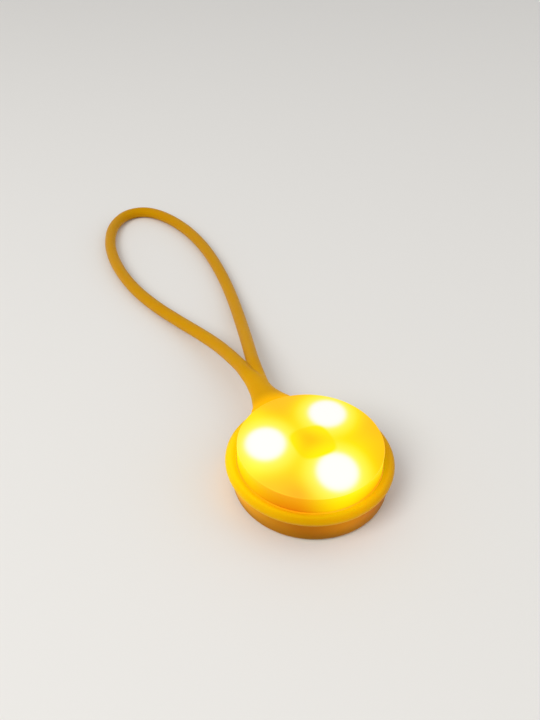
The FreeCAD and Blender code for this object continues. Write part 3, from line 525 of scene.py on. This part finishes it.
def lamplight(made, away):
    """Lamplight in the silicone, as a colour.

    Red and green are sums of bells round the three lamps, in the ring's top and below it, and of
    even light in the ring, at the neck's root and on the lip, less a bell of painted shade where it is
    dimmer. Red is less on the lip, a painted shade in the crease by the lens.
    """
    fades = LIGHT_FADES
    left, front, right = (made.oval(spot) for spot in SPOTS)
    top = away.fade(*fades.top_outwards) * made.z.fade(*fades.top_above)
    low = top.less() * made.z.fade(*fades.low_above)
    cup = made.z.fade(*fades.cup_below)
    inner = away.fade(*fades.inner_outwards) * top
    root = away.fade(*fades.root_outwards) * made.y.fade(*fades.root_along)
    root = root * made.z.fade(*fades.root_above)
    lip = away.fade(*fades.lip_outwards) * made.z.fade(*fades.lip_above)
    near = left.bell(fades.low_left_width)
    # Painted shade: a dimmer spot on the ring's front left
    dim = made.radius(*fades.dim_middle).bell(fades.dim_width)

    def others(width):
        """Bells of light round the front and the right lamp."""
        return front.bell(width) + right.bell(width)

    def in_top(channel):
        """A channel's light in the ring's top."""
        (left_width, left_share), (width, share) = channel.top_left, channel.top_others
        return top * (left.bell(left_width) * left_share + others(width) * share + channel.top)

    def below(channel):
        """A channel's light below the ring's top."""
        width, share = channel.low_others
        return low * (near * cup.between(*channel.low_left) + others(width) * share)

    width, share = RED.cup_others
    red = in_top(RED) + inner * RED.inner + below(RED) + low * cup * others(width) * share
    # Painted shade: red taken away on the lip and in the dimmer spot
    red = red + root * RED.root - lip * RED.lip_less - dim * RED.dim_less
    width, share = GREEN.inner_left
    green = in_top(GREEN) + inner * (left.bell(width) * share + GREEN.inner) + below(GREEN)
    lip_green = made.x.fade(*fades.lip_right) * GREEN.lip_right + GREEN.lip
    green = green + root * GREEN.root + lip * lip_green - dim * GREEN.dim_less
    return made.tint(red, green, green * BLUE_OF_GREEN)


def silicone():
    """Satin yellow silicone lit by the lamps, with painted shade: deeper orange down the cup, darker
    along the strap.
    """
    made = Finish("silicone", NECK_YELLOW, SKIN.roughness, **SATIN)
    fades = SHADE_FADES
    away = made.radius()
    # Painted shade: darker along the strands and the strap, and deeper orange on the cup under the ring
    colour = made.mix(made.y.fade(*fades.strand), NECK_YELLOW, STRAND_YELLOW_SHADED)
    colour = made.mix(made.y.fade(*fades.strap), colour, STRAP_YELLOW_SHADED)
    cup = away.fade(*fades.cup_outwards) * made.z.fade(*fades.cup_below)
    colour = made.mix(cup * made.z.fade(*fades.cup_above), colour, CUP_ORANGE_SHADED)
    cloud = made.noise(SKIN.cloud).fade(*GENTLE)
    colour = made.mix(cloud * SKIN.cloud_share, colour, CLOUD_ORANGE)
    made.paint(made.mix(made.specks(*SKIN.specks) * SKIN.speck_share, colour, DUST))
    grain = made.noise(SKIN.roughness_grain).fade(*CRISP)
    made.roughen(grain.between(*SKIN.roughness_range))
    made.glow(lamplight(made, away))
    made.relief(made.noise(*SKIN.grain), SKIN.grain_depth)
    return made.material


# Lens

LENS_YELLOW = (0.50, 0.22, 0.003)
LENS_ROUGHNESS = 0.36
# Size and detail of its grain, and the depth of the grain's relief
LENS_GRAIN = (0.25, 2.0)
LENS_GRAIN_DEPTH = 0.003
FROSTED = {"IOR": 1.49, "Specular_IOR_Level": 0.25, "Specular_Tint": (1.0, 0.85, 0.05, 1)}
# How far the white, the haze and the yellow round a lamp's spot reach, and how softly each ends
WHITE_REACH = (5.5, 0.4)
HAZE_REACH = (8.3, 0.8)
YELLOW_REACH = (9.6, 1.3)
# The button's square shadow: how far its middle lies to the left and to the front, how much longer
# it is along y, how round its corners are, where its edge fades, and the darker core in it
PATCH = Numbers(
    left=0.35,
    front=1.65,
    longer=0.1,
    roundness=6.0,
    edge=(5.85, 4.9),
    core_middle=(0.0, -0.3),
    core_width=4.0,
)
# The dome's light in each channel: even, and what yellow, white, haze, shadow and place add or take
DOME = Numbers(
    red=0.62,
    green=0.355,
    green_yellow=0.40,
    green_white=0.03,
    green_core_less=0.10,
    green_patch_less=0.04,
    green_y_less=0.001,
    blue_white=0.88,
    blue_haze=0.08,
    blue_x=-0.001,
    blue_y_less=0.0005,
)
# The side wall: where it starts, then its light. The swing goes three times round and the ripple
# six times, each with its phase in degrees and its strength. Some of it changes up the wall.
WALL = Numbers(
    outwards=(18.7, 19.1),
    below=(14.12, 13.92),
    middle=11.8,
    swing=(130, 0.245),
    ripple=(141, 0.08),
    green=0.412,
    green_up=0.038,
    green_up_swing=0.06,
    green_right=0.18,
    right=(11.5, 15.0),
    red_less=0.1,
    red_swing=0.6,
    red_up=0.02,
    red_up_swing=-0.05,
    blue=0.001,
    # Painted shade: low down, inside the sleeve, the wall's glow is less
    sunk_below=(9.9, 8.9),
    sunk_less=0.16,
)
# Places that are lighter or darker than this would make them: x, y, width and how much
DOME_TOUCHES = (
    (-9.8, 16.3, 4.0, 0.17),
    (-19.0, -3.4, 4.0, 0.11),
    (12.0, -6.5, 4.5, 0.09),
    (-10.3, -15.3, 4.0, -0.15),
)
WALL_TOUCHES = (
    (-17.5, -8.2, 4.5, -0.085),
    (-12.6, -14.6, 2.5, 0.02),
)


def dome_light(made):
    """The dome's green and blue: white over each lamp, lemon round it and amber beyond.

    The button's shadow in the middle is the smooth larger of the distances across and along.
    """
    ways = [made.oval(spot) for spot in SPOTS]
    reaches = (WHITE_REACH, HAZE_REACH, YELLOW_REACH)
    white, haze, yellow = (any_of([way.drop(*reach) for way in ways]) for reach in reaches)
    across = (made.x + PATCH.left).apply("ABSOLUTE")
    along = (made.y + PATCH.front).apply("ABSOLUTE") - PATCH.longer
    patch = across.apply("SMOOTH_MAX", along, PATCH.roundness).fade(*PATCH.edge)
    core = made.radius(*PATCH.core_middle).bell(PATCH.core_width)
    shadow = patch * (core * DOME.green_core_less + DOME.green_patch_less)
    green = yellow * DOME.green_yellow + white * DOME.green_white + DOME.green
    green = green - shadow - made.y * DOME.green_y_less
    slant = made.x * DOME.blue_x - made.y * DOME.blue_y_less
    haze_blue = (haze * DOME.blue_haze + slant).apply("MAXIMUM", 0.0)
    blue = (white * DOME.blue_white + haze_blue) * patch.less()
    return made.touched(green, DOME_TOUCHES), blue


def wall_light(made):
    """The side wall's red and green, which rise and fall three times round."""
    turn = made.azimuth()

    def wave(times, phase, strength):
        """A cosine that rises and falls a number of times round the lens."""
        return (turn * times - math.radians(phase)).apply("COSINE") * strength

    swing = wave(3.0, *WALL.swing)
    ripple = wave(6.0, *WALL.ripple)
    up = made.z - WALL.middle
    green = swing + ripple + WALL.green + up * (swing * WALL.green_up_swing + WALL.green_up)
    green = green + made.x.fade(*WALL.right) * WALL.green_right
    red = swing * WALL.red_swing - WALL.red_less + up * (swing * WALL.red_up_swing + WALL.red_up)
    return red, made.touched(green, WALL_TOUCHES)


def lens():
    """Frosted yellow plastic over three lamps, with an orange side wall whose glow darkens with painted
    shade in the sleeve.
    """
    made = Finish("lens", LENS_YELLOW, LENS_ROUGHNESS, **FROSTED)
    dome_green, dome_blue = dome_light(made)
    wall_red, wall_green = wall_light(made)
    wall = made.radius().fade(*WALL.outwards) * made.z.fade(*WALL.below)
    dome = wall.less()
    # Painted shade: the wall's glow is less low down, inside the sleeve's lip
    sleeve_shade = (wall * made.z.fade(*WALL.sunk_below) * WALL.sunk_less).less()
    red = wall * wall_red + DOME.red
    green = dome_green * dome + wall_green * wall
    made.glow(made.tint(red * sleeve_shade, green * sleeve_shade, dome_blue * dome + wall * WALL.blue))
    made.relief(made.noise(*LENS_GRAIN), LENS_GRAIN_DEPTH)
    return made.material


# Other finishes

# A dull tone's share of its colour, the noise for gloss against the grain, and the gloss's range
# against the finish's roughness, for plain and for brushed finishes
PLAIN = Numbers(dull=0.88, coarser=4.0, glossiest=0.85, dullest=1.2)
BRUSHED = Numbers(dull=0.82, grain=(0.5, 4.0), glossiest=0.8, dullest=1.3, depth=0.002)
SHELL = Numbers(
    colour=(0.80, 0.42, 0.01),
    dull=(0.72, 0.37, 0.009),
    roughness=0.45,
    roughness_range=(0.38, 0.54),
    roughness_grain=1.6,
    grain=0.4,
    grain_depth=0.004,
    lit_above=(6.0, 8.6),
    light=(0.34, 0.19, 0.001),
)
LAMP = Numbers(
    colour=(0.95, 0.92, 0.80),
    roughness=0.12,
    clearness=0.6,
    refraction=1.5,
    lit_above=(9.9, 13.0),
    foot_light=(0.9, 0.75, 0.30),
    tip_light=(1.0, 0.95, 0.75),
    ripples=1.5,
    ripple_depth=0.003,
)
# Colour, roughness, the grain's size and the depth of its relief, and whether it is metal
PLAIN_FINISHES = {
    "door_plastic": ((0.022, 0.022, 0.024), 0.55, 0.22, 0.012),
    "seal_rubber": ((0.012, 0.012, 0.012), 0.7, 0.3, 0.003),
    "pad_foam": ((0.045, 0.045, 0.045), 0.95, 0.25, 0.03),
    "board": ((0.78, 0.78, 0.73), 0.4, 0.8, 0.003),
    "tinned_metal": ((0.66, 0.66, 0.66), 0.3, 0.3, 0.004, 1.0),
    "switch_plastic": ((0.018, 0.018, 0.018), 0.5, 0.2, 0.003),
    "chip_plastic": ((0.014, 0.014, 0.015), 0.6, 0.12, 0.003),
    "resistor_ceramic": ((0.02, 0.02, 0.022), 0.35, 0.3, 0.002),
}
# Colour, roughness and how much closer the lines lie along each axis
BRUSHED_FINISHES = {
    "cell_steel": ((0.62, 0.62, 0.63), 0.24, (1, 1, 14)),
    "spring_steel": ((0.60, 0.60, 0.61), 0.22, (1, 9, 9)),
}


def plain(name, colour, roughness, grain, depth, metallic=0.0):
    """A moulded or rolled finish: a fine grain in its relief, its colour and its gloss."""
    made = Finish(name, colour, roughness, metallic)
    fine = made.noise(grain)
    dull = tuple(channel * PLAIN.dull for channel in colour)
    made.paint(made.mix(fine.fade(*CRISP), dull, colour))
    gloss = made.noise(grain * PLAIN.coarser).fade(*GENTLE)
    dullest = min(roughness * PLAIN.dullest, 1.0)
    made.roughen(gloss.between(roughness * PLAIN.glossiest, dullest))
    made.relief(fine, depth)
    return made.material


def brushed(name, colour, roughness, along):
    """Rolled strip or turned can, with fine lines."""
    made = Finish(name, colour, roughness, 1.0)
    lines = made.noise(*BRUSHED.grain, made.stretched(*along))
    shade = lines.fade(*GENTLE)
    made.paint(made.mix(shade, tuple(channel * BRUSHED.dull for channel in colour), colour))
    made.roughen(shade.between(roughness * BRUSHED.glossiest, roughness * BRUSHED.dullest))
    made.relief(lines, BRUSHED.depth)
    return made.material


def shell_plastic():
    """Yellow moulded plastic that shows the lamps' light near its top."""
    made = Finish("shell_plastic", SHELL.colour, SHELL.roughness)
    fine = made.noise(SHELL.grain)
    made.paint(made.mix(fine.fade(*CRISP), SHELL.dull, SHELL.colour))
    gloss = made.noise(SHELL.roughness_grain).fade(*GENTLE)
    made.roughen(gloss.between(*SHELL.roughness_range))
    light = made.z.fade(*SHELL.lit_above)
    made.glow(made.tint(*(light * share for share in SHELL.light)))
    made.relief(fine, SHELL.grain_depth)
    return made.material


def lamp_resin():
    """Clear lamp that is lit inside."""
    sockets = {"Transmission_Weight": LAMP.clearness, "IOR": LAMP.refraction}
    made = Finish("lamp_resin", LAMP.colour, LAMP.roughness, **sockets)
    made.glow(made.mix(made.z.fade(*LAMP.lit_above), LAMP.foot_light, LAMP.tip_light))
    made.relief(made.noise(LAMP.ripples), LAMP.ripple_depth)
    return made.material


def make_finishes():
    """Every finish by the record's slot name."""
    finishes = {
        "silicone": silicone(),
        "lens": lens(),
        "shell_plastic": shell_plastic(),
        "lamp_resin": lamp_resin(),
    }
    for name, numbers in PLAIN_FINISHES.items():
        finishes[name] = plain(name, *numbers)
    for name, numbers in BRUSHED_FINISHES.items():
        finishes[name] = brushed(name, *numbers)
    return finishes


# Shapes


def grid_faces(rows, columns):
    """Quads of a grid whose columns close on themselves."""
    row, column = np.meshgrid(np.arange(rows - 1), np.arange(columns), indexing="ij")
    here = row * columns + column
    ahead = row * columns + (column + 1) % columns
    return np.stack([here, ahead, ahead + columns, here + columns], -1).reshape(-1, 4)


def capped_tube(rings):
    """A closed skin over rings of points, with a fan of triangles round the middle of each end ring."""
    rows, columns = rings.shape[:2]
    middles = [rings[0].mean(0)[None], rings[-1].mean(0)[None]]
    places = np.concatenate([rings.reshape(-1, 3), *middles])
    root = np.arange(columns)
    tip = (rows - 1) * columns + root
    middle = rows * columns
    caps = [
        np.stack([np.roll(root, -1), root, np.full_like(root, middle)], -1),
        np.stack([tip, np.roll(tip, -1), np.full_like(tip, middle + 1)], -1),
    ]
    return places, grid_faces(rows, columns).tolist() + np.concatenate(caps).tolist()


def turned(profile, count):
    """Surface of revolution: each (radius, height) of a closed profile goes round the upright axis."""
    profile = np.concatenate([profile, profile[:1]])
    angle = np.arange(count) * 2 * np.pi / count
    x = profile[:, :1] * np.cos(angle)
    y = profile[:, :1] * np.sin(angle)
    z = np.repeat(profile[:, 1:], count, 1)
    return np.stack([x, y, z], -1).reshape(-1, 3), grid_faces(len(profile), count).tolist()


def arc(centre, radius, start, end, steps):
    """Points of an arc in the profile's plane, with angles in degrees."""
    angle = np.radians(np.linspace(start, end, steps))
    return np.stack([centre[0] + radius * np.cos(angle), centre[1] + radius * np.sin(angle)], -1)


def flowing(y, stations, values):
    """A smooth line through stations along y.

    Between two stations it is the cubic that has their values and slopes, where the slopes come
    from the neighbouring stations.
    """
    slopes = np.gradient(values, stations)
    first = np.clip(np.searchsorted(stations, y) - 1, 0, len(stations) - 2)
    last = first + 1
    span = stations[last] - stations[first]
    part = (y - stations[first]) / span
    rest = 1 - part
    start = (1 + 2 * part) * rest ** 2 * values[first] + part * rest ** 2 * span * slopes[first]
    return start + part ** 2 * (3 - 2 * part) * values[last] - part ** 2 * rest * span * slopes[last]


def cup_profile():
    """The sleeve's section: window, foot with its corner, wall, ring, lip and the groove inside."""
    corner = (CUP_OUTER - CUP_CORNER, CUP_CORNER)
    return np.concatenate([
        [(WINDOW, CUP_FLOOR), (WINDOW, 0.0)],
        arc(corner, CUP_CORNER, -90, 0, CORNER_STEPS),
        [(CUP_OUTER, RING_LEVEL - RING_HALF)],
        arc((RING_CENTRE, RING_LEVEL), RING_HALF, -90, 90, RING_STEPS),
        [*LIP_SLOPE, (LIP_RADIUS, LIP_TOP)],
        [(LIP_RADIUS, GROOVE_HIGH), (GROOVE_RADIUS, GROOVE_HIGH)],
        [(GROOVE_RADIUS, GROOVE_LOW), (CUP_INNER, GROOVE_LOW), (CUP_INNER, CUP_FLOOR)],
    ])


def leaning(shape):
    """The turned cup with its outside out of true.

    Below the ring it moves aside to FOOT_SHIFT at the foot, and its radius grows by FOOT_SPREAD. The
    share of both is 0 at the ring's lower edge and 1 at height 0, and goes evenly between.
    """
    places, faces = shape
    across = np.hypot(places[:, 0], places[:, 1])
    depth = np.clip(1 - places[:, 2] / (RING_LEVEL - RING_HALF), 0, 1)
    share = np.where(across > CUP_OUTER - CUP_CORNER - LEAN_MARGIN, depth, 0)[:, None]
    places[:, :2] += share * (np.array(FOOT_SHIFT) + places[:, :2] * (FOOT_SPREAD / CUP_OUTER))
    return places, faces


def neck_body():
    """The neck's body: ellipses carried along y, from the flare in the ring to the left strand."""
    stations, *columns = np.array(NECK_BODY).T
    y = np.linspace(stations[0], stations[-1], NECK_ROWS)
    left, right, level, thick = (flowing(y, stations, column)[:, None] for column in columns)
    angle = np.arange(NECK_SIDES) * 2 * np.pi / NECK_SIDES
    x = (left + right) / 2 + (right - left) / 2 * np.cos(angle)
    z = level + thick * np.sin(angle)
    return capped_tube(np.stack([x, np.repeat(y[:, None], len(angle), 1), z], -1))


def strand_tube(table):
    """A round strand carried along its middle line, a little thinner inside the strap's end."""
    stations, *columns = np.array(table).T
    y = np.linspace(stations[0], stations[-1], STRAND_ROWS)
    x, z = (flowing(y, stations, column) for column in columns)
    centre = np.stack([x, y, z], -1)
    heading = np.gradient(centre, axis=0)
    across = np.cross(heading, (0, 0, 1.0))
    across /= np.linalg.norm(across, axis=1)[:, None]
    above = np.cross(across, heading)
    above /= np.linalg.norm(above, axis=1)[:, None]
    angle = np.arange(STRAND_SIDES) * 2 * np.pi / STRAND_SIDES
    inside = np.clip(y - LOOP_START, 0, None)
    radius = (STRAND + STRAND_EXTRA - STRAND_TAPER * inside)[:, None, None]
    cos, sin = np.cos(angle)[None, :, None], np.sin(angle)[None, :, None]
    return capped_tube(centre[:, None] + radius * (across[:, None] * cos + above[:, None] * sin))


def add_outward(cage, shape):
    """Adds a closed skin, in millimetres, with its faces turned outwards."""
    places, faces = shape
    corners = [cage.verts.new(place) for place in (places * MM).tolist()]
    fresh = []
    for face in faces:
        loop = list(dict.fromkeys(face))
        if len(loop) > 2:
            fresh.append(cage.faces.new([corners[number] for number in loop]))
    bmesh.ops.remove_doubles(cage, verts=corners, dist=SAME_POINT * MM)
    bmesh.ops.recalc_face_normals(cage, faces=[face for face in fresh if face.is_valid])


def settle(made):
    """Puts a piece's modifiers into its mesh."""
    graph = bpy.context.evaluated_depsgraph_get()
    baked = bpy.data.meshes.new_from_object(made.evaluated_get(graph))
    made.modifiers.clear()
    made.data = baked
    baked.polygons.foreach_set("use_smooth", [True] * len(baked.polygons))


def true_up(mesh, radius, height, reach):
    """Draws points that the voxels left beside a hole's round wall onto it, up to a height.

    A point within half the reach of the radius goes onto it. One within the reach goes to twice
    what its distance is over half the reach.
    """
    places = np.empty(len(mesh.vertices) * 3, np.float32)
    mesh.vertices.foreach_get("co", places)
    places = places.reshape(-1, 3)
    across = np.hypot(places[:, 0], places[:, 1]) / MM
    off = across - radius
    drawn = radius + np.sign(off) * np.clip(np.abs(off) * 2 - reach, 0, None)
    near = (np.abs(off) < reach) & (places[:, 2] < height * MM)
    places[:, :2] *= np.where(near, drawn / across, 1)[:, None]
    mesh.vertices.foreach_set("co", places.ravel())
    mesh.update()


def make_sleeve():
    """One moulding: cup, ring, neck and both strands, run together and softened where they meet."""
    cage = bmesh.new()
    cup = leaning(turned(cup_profile(), CUP_SIDES))
    for shape in (cup, neck_body(), strand_tube(LEFT_STRAND), strand_tube(RIGHT_STRAND)):
        add_outward(cage, shape)
    mesh = bpy.data.meshes.new("sleeve_skin")
    cage.to_mesh(mesh)
    cage.free()
    sleeve = stand("sleeve_skin", mesh, Matrix())
    remesh = sleeve.modifiers.new("one_moulding", "REMESH")
    remesh.mode = "VOXEL"
    remesh.voxel_size = SLEEVE_VOXEL * MM
    smooth = sleeve.modifiers.new("soft_edges", "SMOOTH")
    smooth.factor = SMOOTH_SHARE
    smooth.iterations = SMOOTH_TIMES
    settle(sleeve)
    true_up(sleeve.data, WINDOW, CUP_FLOOR + WINDOW_ABOVE, WINDOW_REACH)
    return sleeve


def make_strap():
    """The loop: one round silicone strand along a smooth spline, from the neck and back to it."""
    data = bpy.data.curves.new("strap_cord", "CURVE")
    data.dimensions = "3D"
    spline = data.splines.new("NURBS")
    spline.points.add(len(STRAP_ROUTE) - 1)
    for point, place in zip(spline.points, STRAP_ROUTE):
        point.co = (*place, 1)
    spline.order_u = SPLINE_ORDER
    spline.use_endpoint_u = True
    spline.resolution_u = SPLINE_STEPS
    data.bevel_depth = STRAND * MM
    data.bevel_resolution = BEVEL_STEPS
    data.use_fill_caps = True
    return stand("strap_cord", data, Matrix())


# The lamp put together

make_camera()
make_world()
for softbox in SOFTBOXES:
    make_softbox(*softbox)
make_table()

finishes = make_finishes()
for part in frame["record"]["subparts"]:
    node = frame["nodes"][part["node"]]
    node.data.materials.clear()
    node.data.materials.append(finishes[part["material_slot"]])

for piece, node in ((make_sleeve(), "sleeve"), (make_strap(), "strap_loop")):
    piece.data.materials.append(finishes["silicone"])
    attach(piece, "housing")
    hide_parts(node)

bpy.context.scene.view_settings.view_transform = "Standard"
